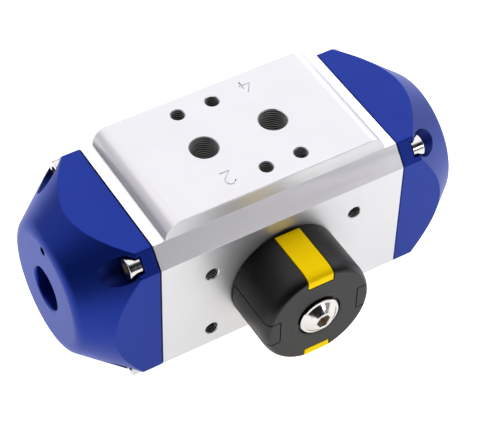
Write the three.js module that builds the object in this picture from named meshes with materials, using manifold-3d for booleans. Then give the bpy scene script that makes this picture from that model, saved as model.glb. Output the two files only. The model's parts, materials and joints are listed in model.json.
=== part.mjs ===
// Rotary pneumatic actuator: a double-acting rack-and-pinion quarter-turn drive.
// Millimetres. +X runs along the cylinder, the position indicator looks along -Y,
// and +Z is the outward normal of the pad that carries a solenoid valve.
// The origin is on the resting face, straight below the pinion's axis.
import * as THREE from 'three';
import { mergeVertices } from 'three/addons/utils/BufferGeometryUtils.js';
import Module from 'manifold-3d';

const wasm = await Module();
wasm.setup();

// ---- Driving dimensions -------------------------------------------------------------
const GAP = 0.3;                    // clearance kept between neighbouring pieces

// Housing: an octagonal extrusion with a raised valve pad on top.
const BODY_HALF = 42;               // half length along X
const SIDE_Y = 27.65;               // front and back faces
const TOP_Y = 22.6;                 // half width of the top face and of the pad
const SECTION_Z = 27.4;             // centre of the octagon, which is also its half height
const SIDE_HALF_Z = 21.2;           // half height of the front and back faces
const AXIS_Z = 25.25;               // pinion and piston bore axes
const PAD_TOP = 60.17;
const PAD_FLAT_HALF = 32.5;         // where the pad's quarter-round ends begin
const BORE_R = 20;

// Valve pad: two air ports 24 mm apart and four M5 holes.
const PORT_X = 12;
const PORT_R = 4.4;                 // G1/8 tapping size
const PORT_DEPTH = 9.6;
const M5_TAP_R = 2.1;
const PAD_SCREW_DEPTH = 8;
const SIDE_SCREW_DEPTH = 9;
const PAD_SCREWS = [[-12, 16], [0, 16], [0, -16], [12, -16]];
const DUCT_Y = 10;                  // air duct that feeds both end chambers
const DUCT_Z = 49.5;
const DUCT_R = 1.6;
const DUCT_LOBE_R = 3.4;            // gasket around the duct

// Front face: four M5 holes for an accessory bracket. Rear face: the valve flange.
const BRACKET_X = 25;
const BRACKET_Z = 12.5;
const FLANGE_OFFSET = 36 / 2 / Math.SQRT2;
const SPIGOT_R = 12.5;
const SPIGOT_DEPTH = 2;

// End caps.
const CAP_END = 66.7;
const CAP_FACE_R = 20.5;            // where the cone meets the end face, before rounding
const CAP_CONE_SLOPE = 1.25;        // fall along X for each millimetre of radius
const CAP_CONE_X = 57.8;            // cone position at the middle of a side face
const CAP_EDGE_R = 5;
const RECESS_R = 7.2;
const RECESS_DEPTH = 5;
const CAVITY_R = 17;
const CAVITY_END = 54;
const GASKET_R = 23.9;
const PINHOLE_R = 1.4;
const PINHOLE_Z = AXIS_Z + 19.1;

// Cap screws, M4 socket head.
const SCREW_Y = 22.4;
const SCREW_Z = 22.15;              // above and below the octagon's centre
const SCREW_SEAT = 47;
const SCREW_HEAD = [3.5, 4];        // radius, height
const SCREW_SHANK = [1.9, 17];      // radius, length
const POCKET_R = 4.3;

// Rack and pinion: module 1.25, 12 teeth, 25 degree stub teeth.
const MODULE = 1.25;
const TEETH = 12;
const PITCH_R = MODULE * TEETH / 2;
const PRESSURE = 25 * Math.PI / 180;
const ADDENDUM = 0.9 * MODULE;
const DEDENDUM = 1.15 * MODULE;
const BACKLASH = 0.3;               // taken off each tooth's thickness, shared by both parts
const GEAR_HALF_Y = 8;

// Pinion shaft, along Y.
const SHAFT_R = 8;
const COLLAR_R = 9.6;
const COLLAR_Y = 18.3;
const CROSS_BORE_R = 10;
const LIP_R = 8.9;
const SHAFT_BACK = 25.35;
const SOCKET_AF = 9;
const SOCKET_DEPTH = 10;
const NECK_R = 6.5;                 // front end that carries the indicator
const NECK_FLAT = 5;
const NECK_START = -32;
const NECK_END = -44.9;
const NECK_TAP_R = 3.1;
const NECK_TAP_DEPTH = 14;
const SEAL_GROOVE_R = 6.9;
const SEAL_GROOVE_HALF = 1;
const SHAFT_SEAL = [7.9, 0.7];      // centre radius and cord radius
const FRONT_BUSH = [-23.9, -18.6];
const REAR_BUSH = [18.6, 21.7];
const FRONT_SEAL_Y = -25.7;
const REAR_SEAL_Y = 23.7;
const CLIP_Y = [-30.3, -29.2];
const CLIP_R = [7.5, 10.4];
const CLIP_MOUTH = 2.5;             // half width of the ring's opening
const WASHER_Y = [-28.9, -27.95];
const WASHER_R = 10.8;

// Pistons, described for the left one; the right one is turned half a turn about the pinion.
const PISTON_R = 19.65;
const PISTON_FACES = [-29.5, -20.5];
const PISTON_SEAL_X = -26.6;
const PISTON_SEAL = [18.75, 0.95];  // centre radius and cord radius
const SEAL_FLOOR_R = 17.5;
const WEAR_RING_X = [-23.1, -21.5];
const WEAR_RING_R = 18.8;
const WEAR_FLOOR_R = 18.5;
const PISTON_DISH = [12, 3];        // radius and depth of the hollow in the outer face
const RACK_END = 17.5;
const RACK_HALF_Y = 7.5;
const RACK_TOP = 17;
const GUIDE_X = [-2, 14];           // guide pad behind the rack
const GUIDE_HALF_Y = 5;
const GUIDE_Z = [15.3, 19];

// Position indicator.
const KNOB_R = 18.45;
const KNOB_FRONT = -48.05;
const KNOB_BACK = -27.95;
const KNOB_EDGE = [1.8, 4.3];       // the rounded edge's reach across and along the axis
const KNOB_WALL_R = 15;
const KNOB_PLATE = -45.4;
const HUB_R = 10;
const HUB_BACK = -33;
const INSERT_HALF = 4.3;
const INSERT_CORE_R = 16.5;         // inner face of an insert's side leg
const INSERT_CORE_Y = -46.5;        // inner face of an insert's front leg
const INSERT_BACK = -28.6;
const MARKER_SPAN = [13.95, 18];    // inner edge and flat outer face of a yellow insert
const FILLER_SPAN = [13.6, 20];     // the same for a black insert, which ends at the knob's round
const SCREW_RECESS_R = 7.5;
const SCREW_RECESS_Y = -47.75;
const SCREW_BORE_R = 3.2;

// Indicator screw, M6 flanged button head.
const BUTTON_HEIGHT = 2.8;
const BUTTON_FLANGE = [6.7, 0.7];   // radius, thickness
const BUTTON_SHANK_R = 2.8;
const BUTTON_LENGTH = 12;
const BUTTON_SOCKET = [4, 2.1];     // across flats, depth

// ---- Materials ------------------------------------------------------------------------
const look = (color, roughness, metalness) =>
  new THREE.MeshStandardMaterial({ color, roughness, metalness });
const materials = {
  anodised: look(0xdcdbe2, 0.42, 0.75),
  capBlue: look(0x2c389c, 0.55, 0.1),
  steel: look(0xb9b7b2, 0.22, 1),
  blackPlastic: look(0x1c1c1b, 0.5, 0),
  yellowPlastic: look(0xe8cc08, 0.45, 0),
  rubber: look(0x141414, 0.8, 0),
  bearingPlastic: look(0xd9d2bd, 0.6, 0),
  gearSteel: look(0x8e8e90, 0.4, 1),
  castAluminium: look(0xb4b4b6, 0.5, 0.8),
};

// ---- Solids ---------------------------------------------------------------------------
function signedVolume(position, triangles) {
  let volume = 0;
  for (let i = 0; i < triangles.length; i += 3) {
    const [a, b, c] = [0, 1, 2].map((k) =>
      new THREE.Vector3().fromArray(position, 3 * triangles[i + k]));
    volume += a.dot(b.cross(c));
  }
  return volume;
}

// A closed geometry as a solid, with its faces pointing out.
function solid(geometry) {
  geometry.deleteAttribute('normal');
  geometry.deleteAttribute('uv');
  const merged = mergeVertices(geometry, 1e-4);
  const triangles = [];
  for (let i = 0; i < merged.index.count; i += 3) {
    const [a, b, c] = [0, 1, 2].map((k) => merged.index.getX(i + k));
    if (a !== b && b !== c && a !== c) triangles.push(a, b, c);
  }
  const vertProperties = new Float32Array(merged.attributes.position.array);
  if (signedVolume(vertProperties, triangles) < 0) triangles.reverse();
  const triVerts = new Uint32Array(triangles);
  return new wasm.Manifold(new wasm.Mesh({ numProp: 3, vertProperties, triVerts }));
}

// An outline given in the plane across an axis, extruded from one place to another on it.
// The outline's own two coordinates are (y, z) across X, (z, x) across Y and (x, y) across Z.
const ACROSS = {
  x: new THREE.Matrix4().makeBasis(
    new THREE.Vector3(0, 1, 0), new THREE.Vector3(0, 0, 1), new THREE.Vector3(1, 0, 0)),
  y: new THREE.Matrix4().makeBasis(
    new THREE.Vector3(0, 0, 1), new THREE.Vector3(1, 0, 0), new THREE.Vector3(0, 1, 0)),
  z: new THREE.Matrix4(),
};

function extrude(axis, outline, from, to, curveSegments = 24) {
  const shape = outline instanceof THREE.Shape ? outline
    : new THREE.Shape(outline.map(([a, b]) => new THREE.Vector2(a, b)));
  const options = { depth: to - from, bevelEnabled: false, curveSegments };
  const geometry = new THREE.ExtrudeGeometry(shape, options);
  geometry.translate(0, 0, from);
  return solid(geometry.applyMatrix4(ACROSS[axis]));
}

function box([x0, x1], [y0, y1], [z0, z1]) {
  const geometry = new THREE.BoxGeometry(x1 - x0, y1 - y0, z1 - z0);
  return solid(geometry.translate((x0 + x1) / 2, (y0 + y1) / 2, (z0 + z1) / 2));
}

// A cylinder along an axis; at holds the two other coordinates in ACROSS order.
function rod(axis, at, radius, from, to, segments = 24) {
  const geometry = new THREE.CylinderGeometry(radius, radius, to - from, segments);
  geometry.rotateX(Math.PI / 2);
  geometry.translate(at[0], at[1], (from + to) / 2);
  return solid(geometry.applyMatrix4(ACROSS[axis]));
}

// A profile of [radius, position] points turned about an axis.
function turned(axis, at, profile, segments = 24) {
  const points = profile.map(([radius, position]) => new THREE.Vector2(radius, position));
  const geometry = new THREE.LatheGeometry(points, segments);
  geometry.rotateX(Math.PI / 2);
  geometry.translate(at[0], at[1], 0);
  return solid(geometry.applyMatrix4(ACROSS[axis]));
}

// A ring of rectangular section, as a closed profile.
function ring(axis, at, inner, outer, from, to, segments = 20) {
  const profile = [[inner, from], [outer, from], [outer, to], [inner, to], [inner, from]];
  return turned(axis, at, profile, segments);
}

function oRing(axis, at, [centreRadius, tubeRadius], position, segments = 20) {
  const geometry = new THREE.TorusGeometry(centreRadius, tubeRadius, 6, segments);
  geometry.translate(at[0], at[1], position);
  return solid(geometry.applyMatrix4(ACROSS[axis]));
}

function hexOutline([a, b], acrossFlats) {
  const corner = acrossFlats / Math.sqrt(3);
  return Array.from({ length: 6 }, (_, i) => {
    const angle = i * Math.PI / 3;
    return [a + corner * Math.cos(angle), b + corner * Math.sin(angle)];
  });
}

// Points of an arc about (a, b), both ends included.
function arc(a, b, radius, start, end, steps) {
  return Array.from({ length: steps + 1 }, (_, i) => {
    const angle = start + (end - start) * i / steps;
    return [a + radius * Math.cos(angle), b + radius * Math.sin(angle)];
  });
}

const union = (solids) => solids.reduce((sum, next) => sum.add(next));
const cut = (stock, ...tools) => tools.flat().reduce((rest, tool) => rest.subtract(tool), stock);
const mirrorX = (shape) => shape.mirror([1, 0, 0]);

const AXIS = [AXIS_Z, 0];           // the pinion's axis, in the plane across Y
const BORE = [0, AXIS_Z];           // the piston bore's axis, in the plane across X
const CENTRE = [0, SECTION_Z];      // the octagon's centre, in the plane across X
const DUCT = [DUCT_Y, DUCT_Z];      // the air duct, in the plane across X

// ---- Housing --------------------------------------------------------------------------
function octagon(inset = 0) {
  const side = SIDE_Y - inset;
  const top = SECTION_Z - inset;
  const sideHalf = SIDE_HALF_Z - inset * 0.45;
  const topHalf = TOP_Y - inset * 0.36;
  const corners = [[side, sideHalf], [topHalf, top], [-topHalf, top], [-side, sideHalf]];
  return [...corners, ...corners.map(([y, z]) => [-y, -z])].map(([y, z]) => [y, SECTION_Z + z]);
}

// The pad's outline across Y, with quarter-round ends that run down to the shoulders.
function padOutline() {
  const shoulder = 2 * SECTION_Z;
  const rise = PAD_TOP - shoulder;
  const right = arc(shoulder, PAD_FLAT_HALF, rise, Math.PI / 2, 0, 6);
  const left = right.map(([z, x]) => [z, -x]).reverse();
  const root = shoulder - 6;
  return [[root, PAD_FLAT_HALF + rise], ...right, ...left, [root, -PAD_FLAT_HALF - rise]];
}

function tappedHole(axis, at, radius, mouth, depth, inward, segments = 10) {
  const bottom = mouth + inward * depth;
  const outside = mouth - inward;
  const ends = [Math.min(outside, bottom), Math.max(outside, bottom)];
  return rod(axis, at, radius, ends[0], ends[1], segments);
}

function housing() {
  const stock = union([
    extrude('x', octagon(), -BODY_HALF, BODY_HALF),
    extrude('y', padOutline(), -TOP_Y, TOP_Y),
  ]);
  const tools = [
    rod('x', BORE, BORE_R, -BODY_HALF - 1, BODY_HALF + 1, 40),
    rod('y', AXIS, LIP_R, -SIDE_Y - 1, SIDE_Y + 1, 24),
    rod('y', AXIS, CROSS_BORE_R, FRONT_BUSH[0] - GAP, REAR_BUSH[1] + GAP, 24),
    rod('y', AXIS, SPIGOT_R, SIDE_Y - SPIGOT_DEPTH, SIDE_Y + 1, 28),
    rod('x', DUCT, DUCT_R, -BODY_HALF - 1, BODY_HALF + 1, 8),
    rod('y', [DUCT_Z, PORT_X], DUCT_R, 0, DUCT_Y, 8),
    rod('z', [-PORT_X, 0], DUCT_R, AXIS_Z, PAD_TOP - 1, 8),
  ];
  for (const x of [-PORT_X, PORT_X]) {
    tools.push(tappedHole('z', [x, 0], PORT_R, PAD_TOP, PORT_DEPTH, -1, 16));
  }
  for (const at of PAD_SCREWS) {
    tools.push(tappedHole('z', at, M5_TAP_R, PAD_TOP, PAD_SCREW_DEPTH, -1));
  }
  for (const sx of [-1, 1]) {
    for (const sz of [-1, 1]) {
      const bracket = [AXIS_Z + sz * BRACKET_Z, sx * BRACKET_X];
      const flange = [AXIS_Z + sz * FLANGE_OFFSET, sx * FLANGE_OFFSET];
      tools.push(tappedHole('y', bracket, M5_TAP_R, -SIDE_Y, SIDE_SCREW_DEPTH, 1));
      tools.push(tappedHole('y', flange, M5_TAP_R, SIDE_Y, SIDE_SCREW_DEPTH, -1));
    }
  }
  for (const [y, z] of screwPlaces()) {
    for (const side of [-1, 1]) {
      const reach = SCREW_SEAT - SCREW_SHANK[1] - 1;
      const ends = [side * reach, side * (BODY_HALF + 1)].sort((a, b) => a - b);
      tools.push(rod('x', [y, z], SCREW_SHANK[0] + GAP, ends[0], ends[1], 8));
    }
  }
  return cut(stock, tools);
}

// ---- End caps -------------------------------------------------------------------------
function screwPlaces() {
  return [[-1, 1], [1, 1], [-1, -1], [1, -1]]
    .map(([sy, sz]) => [sy * SCREW_Y, SECTION_Z + sz * SCREW_Z]);
}

// The cap's cone and rounded end, as a turned blank for the right-hand end.
function capBlank() {
  const coneAt = (radius) => CAP_CONE_X - CAP_CONE_SLOPE * (radius - SIDE_Y);
  const tilt = Math.atan(1 / CAP_CONE_SLOPE);
  const tangent = CAP_EDGE_R * Math.tan((Math.PI / 2 - tilt) / 2);
  const flatR = CAP_FACE_R - tangent;
  const edge = arc(flatR, CAP_END - CAP_EDGE_R, CAP_EDGE_R, Math.PI / 2, tilt, 3);
  const rim = 36;
  const profile = [
    [0, BODY_HALF], [rim, BODY_HALF], [rim, coneAt(rim)], ...edge.reverse(), [0, CAP_END],
  ];
  return turned('x', CENTRE, profile, 40);
}

// The air seal between cap and housing: a flat ring with a lobe around the air duct.
function gasketOutline(grow, from, to) {
  const lobe = rod('x', DUCT, DUCT_LOBE_R + grow, from, to, 12);
  return rod('x', BORE, GASKET_R + grow, from, to, 32).add(lobe);
}

function rightGasket() {
  const slab = gasketOutline(0, BODY_HALF + GAP, BODY_HALF + 3 * GAP);
  const hole = rod('x', BORE, BORE_R + GAP, BODY_HALF, CAP_END, 32);
  return cut(slab, hole, rod('x', DUCT, DUCT_R + GAP, BODY_HALF, CAP_END, 8));
}

function rightCap() {
  const face = BODY_HALF + GAP;
  const seat = SCREW_SEAT - GAP;
  const blank = extrude('x', octagon(), face, CAP_END + 1).intersect(capBlank());
  const ductEnd = face + 4;
  const passage = rod('x', DUCT, DUCT_R, face - 1, ductEnd, 8);
  const channelY = [DUCT_Y - DUCT_R, DUCT_Y + DUCT_R];
  const channel = box([face + 0.5, ductEnd], channelY, [AXIS_Z + 10, DUCT_Z]);
  const tools = [
    gasketOutline(GAP, face - 1, face + 3 * GAP),
    rod('x', BORE, CAVITY_R, face - 1, CAVITY_END, 24),
    rod('x', CENTRE, RECESS_R, CAP_END - RECESS_DEPTH, CAP_END + 1, 24),
    rod('x', [0, PINHOLE_Z], PINHOLE_R, CAP_END - 3, CAP_END + 1, 8),
    passage, channel,
  ];
  for (const at of screwPlaces()) {
    tools.push(rod('x', at, POCKET_R, seat, CAP_END, 16));
    tools.push(rod('x', at, SCREW_SHANK[0] + GAP, face - 1, seat + 1, 8));
  }
  return cut(blank, tools);
}

function rightCapScrew([y, z]) {
  const [headR, headH] = SCREW_HEAD;
  const [shankR, shankL] = SCREW_SHANK;
  const top = SCREW_SEAT + headH;
  const tip = SCREW_SEAT - shankL;
  const profile = [
    [0, tip], [shankR, tip], [shankR, SCREW_SEAT], [headR, SCREW_SEAT],
    [headR, top - 0.4], [headR - 0.4, top], [0, top],
  ];
  const socket = extrude('x', hexOutline([y, z], 3), top - 2.2, top + 1);
  return cut(turned('x', [y, z], profile, 12), socket);
}

// ---- Rack and pinion ------------------------------------------------------------------
// Half thickness of a pinion tooth, as an angle, at a given radius of its involute flank.
function halfToothAngle(radius) {
  const baseR = PITCH_R * Math.cos(PRESSURE);
  const involute = (angle) => Math.tan(angle) - angle;
  const atPitch = (Math.PI * MODULE / 2 - BACKLASH) / 2 / PITCH_R;
  const pressureHere = Math.acos(Math.min(1, baseR / radius));
  return atPitch + involute(PRESSURE) - involute(pressureHere);
}

function gearOutline() {
  const rootR = PITCH_R - DEDENDUM;
  const tipR = PITCH_R + ADDENDUM;
  const baseR = PITCH_R * Math.cos(PRESSURE);
  const flank = [0, 1, 2].map((i) => baseR + (tipR - baseR) * i / 2);
  const outline = [];
  for (let tooth = 0; tooth < TEETH; tooth += 1) {
    const middle = tooth * 2 * Math.PI / TEETH;
    const radii = [rootR, ...flank];
    outline.push(...radii.map((radius) => [radius, middle - halfToothAngle(radius)]));
    radii.reverse();
    outline.push(...radii.map((radius) => [radius, middle + halfToothAngle(radius)]));
  }
  return outline.map(([radius, angle]) =>
    [AXIS_Z + radius * Math.cos(angle), radius * Math.sin(angle)]);
}

// The drive socket: two squares, one turned by 45 degrees, with their corners cut round.
function driveSocket() {
  const square = (turn) => Array.from({ length: 4 }, (_, i) => {
    const angle = turn + i * Math.PI / 2;
    const corner = SOCKET_AF / Math.SQRT2;
    return [AXIS_Z + corner * Math.cos(angle), corner * Math.sin(angle)];
  });
  const depth = [SHAFT_BACK - SOCKET_DEPTH, SHAFT_BACK + 1];
  const squares = [0, Math.PI / 4].map((turn) => extrude('y', square(turn), ...depth));
  return union(squares).intersect(rod('y', AXIS, 6, ...depth, 16));
}

function pinion() {
  const groove = (from, to, floor) => [[SHAFT_R, from], [floor, from], [floor, to], [SHAFT_R, to]];
  const sealGroove = (y) => groove(y - SEAL_GROOVE_HALF, y + SEAL_GROOVE_HALF, SEAL_GROOVE_R);
  const profile = [
    [0, NECK_END], [NECK_R - 0.6, NECK_END], [NECK_R, NECK_END + 0.6], [NECK_R, NECK_START],
    [SHAFT_R, NECK_START], ...groove(CLIP_Y[0] - GAP, CLIP_Y[1] + GAP, CLIP_R[0] - GAP),
    ...sealGroove(FRONT_SEAL_Y), [SHAFT_R, -COLLAR_Y],
    [COLLAR_R, -COLLAR_Y], [COLLAR_R, -GEAR_HALF_Y], [PITCH_R - DEDENDUM, -GEAR_HALF_Y],
    [PITCH_R - DEDENDUM, GEAR_HALF_Y], [COLLAR_R, GEAR_HALF_Y], [COLLAR_R, COLLAR_Y],
    [SHAFT_R, COLLAR_Y], ...sealGroove(REAR_SEAL_Y), [SHAFT_R, SHAFT_BACK], [0, SHAFT_BACK],
  ];
  const shaft = turned('y', AXIS, profile, 24);
  const gear = extrude('y', gearOutline(), -GEAR_HALF_Y - 0.2, GEAR_HALF_Y + 0.2);
  const flats = [-1, 1].map((side) => {
    const span = [side * NECK_FLAT, side * (SHAFT_R + 1)].sort((a, b) => a - b);
    return box(span, [NECK_END - 1, NECK_START], [AXIS_Z - 9, AXIS_Z + 9]);
  });
  const thread = rod('y', AXIS, NECK_TAP_R, NECK_END - 1, NECK_END + NECK_TAP_DEPTH, 12);
  return cut(shaft.add(gear), flats, thread, driveSocket());
}

// One tooth space of the upper rack, centred at x, in the plane across Y.
function rackSpace(x) {
  const root = AXIS_Z + PITCH_R + DEDENDUM;
  const mouth = AXIS_Z + PITCH_R - ADDENDUM - 0.5;
  const halfAt = (z) => Math.PI * MODULE / 4 + BACKLASH / 2
    - (z - AXIS_Z - PITCH_R) * Math.tan(PRESSURE);
  const outline = [
    [root, x - halfAt(root)], [mouth, x - halfAt(mouth)],
    [mouth, x + halfAt(mouth)], [root, x + halfAt(root)],
  ];
  return extrude('y', outline, -RACK_HALF_Y - 1, RACK_HALF_Y + 1);
}

function leftPiston() {
  const [outer, inner] = PISTON_FACES;
  const [dishR, dishDepth] = PISTON_DISH;
  const groove = (from, to, floor) => [[PISTON_R, from], [floor, from], [floor, to], [PISTON_R, to]];
  const sealHalf = PISTON_SEAL[1] + GAP;
  const profile = [
    [0, outer + dishDepth], [dishR, outer + dishDepth], [dishR, outer],
    [PISTON_R - 0.6, outer], [PISTON_R, outer + 0.6],
    ...groove(PISTON_SEAL_X - sealHalf, PISTON_SEAL_X + sealHalf, SEAL_FLOOR_R),
    ...groove(WEAR_RING_X[0] - GAP, WEAR_RING_X[1] + GAP, WEAR_FLOOR_R),
    [PISTON_R, inner], [0, inner],
  ];
  const disc = turned('x', BORE, profile, 28);
  const bar = box([inner - 1, RACK_END], [-RACK_HALF_Y, RACK_HALF_Y],
    [AXIS_Z + PITCH_R - ADDENDUM, AXIS_Z + RACK_TOP]);
  const pitch = Math.PI * MODULE;
  const spaces = [-2, -1, 0, 1, 2, 3, 4].map((i) => rackSpace(i * pitch));
  const pocketHalf = GUIDE_HALF_Y + GAP;
  const guidePocket = box([GUIDE_X[0] - GAP, GUIDE_X[1] + GAP], [-pocketHalf, pocketHalf],
    [AXIS_Z + GUIDE_Z[0] - GAP, AXIS_Z + RACK_TOP + 1]);
  return cut(disc.add(bar), spaces, guidePocket);
}

function leftGuidePad() {
  return box(GUIDE_X, [-GUIDE_HALF_Y, GUIDE_HALF_Y], GUIDE_Z.map((z) => AXIS_Z + z));
}

// The other piston's piece: half a turn about the pinion's axis.
function halfTurn(shape) {
  return shape.translate([0, 0, -AXIS_Z]).rotate([0, 180, 0]).translate([0, 0, AXIS_Z]);
}

function retainingRing() {
  const full = ring('y', AXIS, ...CLIP_R, ...CLIP_Y);
  const mouth = box([-CLIP_MOUTH, CLIP_MOUTH], [CLIP_Y[0] - 1, CLIP_Y[1] + 1],
    [AXIS_Z - CLIP_R[1] - 1, AXIS_Z - CLIP_R[0] / 2]);
  return cut(full, mouth);
}

// ---- Position indicator ---------------------------------------------------------------
function knobEnvelope(back) {
  const [across, along] = KNOB_EDGE;
  const edge = arc(0, 0, 1, -Math.PI / 2, 0, 3)
    .map(([a, b]) => [KNOB_R + across * (a - 1), KNOB_FRONT + along * (b + 1)]);
  return turned('y', AXIS, [[0, KNOB_FRONT], ...edge, [KNOB_R, back], [0, back]], 40);
}

// A bar that crosses the knob's edge on one side: 0 is up, 1 left, 2 down and 3 right.
function edgeBar(quarter, [inner, outer], half, back) {
  const bar = box([-half, half], [KNOB_FRONT - 2, back], [inner, outer]);
  return bar.rotate([0, -90 * quarter, 0]).translate([0, 0, AXIS_Z]);
}

function insert(quarter, span) {
  const core = rod('y', AXIS, INSERT_CORE_R, INSERT_CORE_Y, 0, 40);
  const bar = edgeBar(quarter, span, INSERT_HALF, INSERT_BACK);
  return bar.intersect(knobEnvelope(INSERT_BACK)).subtract(core);
}

function insertPocket(quarter, [inner]) {
  const core = rod('y', AXIS, INSERT_CORE_R - GAP, INSERT_CORE_Y + GAP, 0, 40);
  const span = [inner - GAP, KNOB_R + 2];
  return edgeBar(quarter, span, INSERT_HALF + GAP, INSERT_BACK + GAP).subtract(core);
}

function indicatorKnob() {
  const hubBore = rod('y', AXIS, NECK_R + GAP, KNOB_PLATE, KNOB_BACK, 20)
    .intersect(box([-NECK_FLAT - GAP, NECK_FLAT + GAP], [KNOB_PLATE, KNOB_BACK], [0, PAD_TOP]));
  const hollow = ring('y', AXIS, HUB_R, KNOB_WALL_R, KNOB_PLATE, KNOB_BACK + 1, 28);
  const behindHub = rod('y', AXIS, HUB_R + 1, HUB_BACK, KNOB_BACK + 1, 24);
  const screwRecess = rod('y', AXIS, SCREW_RECESS_R, KNOB_FRONT - 1, SCREW_RECESS_Y, 24);
  const screwBore = rod('y', AXIS, SCREW_BORE_R, KNOB_FRONT, KNOB_PLATE + 1, 12);
  const pockets = [MARKER_SPAN, FILLER_SPAN, MARKER_SPAN, FILLER_SPAN]
    .map((span, quarter) => insertPocket(quarter, span));
  return cut(knobEnvelope(KNOB_BACK), hollow, behindHub, hubBore, screwRecess, screwBore, pockets);
}

function indicatorScrew() {
  const seat = SCREW_RECESS_Y - GAP;
  const apex = seat - BUTTON_HEIGHT;
  const tip = seat + BUTTON_LENGTH;
  const [flangeR, flangeH] = BUTTON_FLANGE;
  const [acrossFlats, socketDepth] = BUTTON_SOCKET;
  const profile = [
    [0, apex], [3.2, apex], [4.4, apex + 0.5], [5.2, apex + 1.3], [5.6, seat - flangeH],
    [flangeR - 0.2, seat - flangeH], [flangeR, seat - flangeH + 0.2], [flangeR, seat],
    [BUTTON_SHANK_R, seat], [BUTTON_SHANK_R, tip - 0.5], [BUTTON_SHANK_R - 0.5, tip], [0, tip],
  ];
  const socket = extrude('y', hexOutline(AXIS, acrossFlats), apex - 1, apex + socketDepth);
  return cut(turned('y', AXIS, profile, 20), socket);
}

// ---- Assembly -------------------------------------------------------------------------
const actuator = new THREE.Group();
actuator.name = 'rotary_actuator';

function add(name, shape, material) {
  const { vertProperties, triVerts } = shape.getMesh();
  const geometry = new THREE.BufferGeometry();
  geometry.setAttribute('position', new THREE.BufferAttribute(new Float32Array(vertProperties), 3));
  geometry.setIndex(new THREE.BufferAttribute(new Uint32Array(triVerts), 1));
  geometry.computeVertexNormals();
  const mesh = new THREE.Mesh(geometry, materials[material]);
  mesh.name = name;
  actuator.add(mesh);
}

add('cylinder_body', housing(), 'anodised');

// The right-hand end, and its mirror image at the left.
function addEnds(kind, shape, material, corner = '') {
  add(`${kind}_right${corner}`, shape, material);
  add(`${kind}_left${corner}`, mirrorX(shape), material);
}

addEnds('end_cap', rightCap(), 'capBlue');
addEnds('cap_gasket', rightGasket(), 'rubber');
for (const [y, z] of screwPlaces()) {
  const corner = `_${z > SECTION_Z ? 'top' : 'bottom'}_${y < 0 ? 'front' : 'back'}`;
  addEnds('cap_screw', rightCapScrew([y, z]), 'steel', corner);
}

const bushR = [SHAFT_R + GAP, CROSS_BORE_R - GAP];
add('drive_pinion', pinion(), 'gearSteel');
add('pinion_bush_front', ring('y', AXIS, ...bushR, ...FRONT_BUSH), 'bearingPlastic');
add('pinion_bush_rear', ring('y', AXIS, ...bushR, ...REAR_BUSH), 'bearingPlastic');
add('pinion_o_ring_front', oRing('y', AXIS, SHAFT_SEAL, FRONT_SEAL_Y), 'rubber');
add('pinion_o_ring_rear', oRing('y', AXIS, SHAFT_SEAL, REAR_SEAL_Y), 'rubber');
add('thrust_washer', ring('y', AXIS, SHAFT_R + GAP, WASHER_R, ...WASHER_Y), 'bearingPlastic');
add('retaining_ring', retainingRing(), 'steel');

const pistonPieces = {
  '': [leftPiston(), 'castAluminium'],
  _seal: [oRing('x', BORE, PISTON_SEAL, PISTON_SEAL_X, 28), 'rubber'],
  _wear_ring: [ring('x', BORE, WEAR_RING_R, PISTON_R, ...WEAR_RING_X, 28), 'bearingPlastic'],
  _guide_pad: [leftGuidePad(), 'bearingPlastic'],
};
for (const [piece, [shape, material]] of Object.entries(pistonPieces)) {
  add(`piston_left${piece}`, shape, material);
  add(`piston_right${piece}`, halfTurn(shape), material);
}

add('indicator_knob', indicatorKnob(), 'blackPlastic');
add('indicator_marker_top', insert(0, MARKER_SPAN), 'yellowPlastic');
add('indicator_marker_bottom', insert(2, MARKER_SPAN), 'yellowPlastic');
add('indicator_filler_left', insert(1, FILLER_SPAN), 'blackPlastic');
add('indicator_filler_right', insert(3, FILLER_SPAN), 'blackPlastic');
add('indicator_screw', indicatorScrew(), 'steel');

export default actuator;
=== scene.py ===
# Rotary pneumatic actuator: the looks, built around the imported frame.
# Shapes are worked out in millimetres, in the frame's own axes: +X along the cylinder,
# -Y out of the position indicator, +Z out of the valve pad.
import json
import math

import bmesh
import bpy
from mathutils import Matrix, Vector


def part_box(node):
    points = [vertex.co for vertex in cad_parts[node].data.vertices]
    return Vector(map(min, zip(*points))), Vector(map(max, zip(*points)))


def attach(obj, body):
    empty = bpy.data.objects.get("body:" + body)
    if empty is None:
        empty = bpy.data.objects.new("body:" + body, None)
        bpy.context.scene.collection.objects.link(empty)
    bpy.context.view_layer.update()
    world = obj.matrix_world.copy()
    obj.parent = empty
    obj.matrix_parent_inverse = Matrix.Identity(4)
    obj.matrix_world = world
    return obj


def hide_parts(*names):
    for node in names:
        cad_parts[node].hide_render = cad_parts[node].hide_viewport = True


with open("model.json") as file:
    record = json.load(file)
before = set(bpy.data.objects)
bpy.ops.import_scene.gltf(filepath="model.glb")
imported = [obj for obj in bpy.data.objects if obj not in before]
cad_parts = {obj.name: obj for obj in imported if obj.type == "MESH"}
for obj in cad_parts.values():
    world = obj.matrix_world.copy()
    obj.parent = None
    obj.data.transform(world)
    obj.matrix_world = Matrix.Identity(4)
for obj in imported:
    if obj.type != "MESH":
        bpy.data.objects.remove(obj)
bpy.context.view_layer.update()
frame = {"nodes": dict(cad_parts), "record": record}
MM = 0.001                      # metres in a millimetre
TINY_R = 0.001                  # radius in millimetres of a ring that closes a turned end


# ---- Sizes, from the frame where it holds them ----------------------------------------
def box_mm(node):
    """Lowest and highest corner of a CAD node, in millimetres."""
    low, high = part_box(node)
    return low / MM, high / MM


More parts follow.
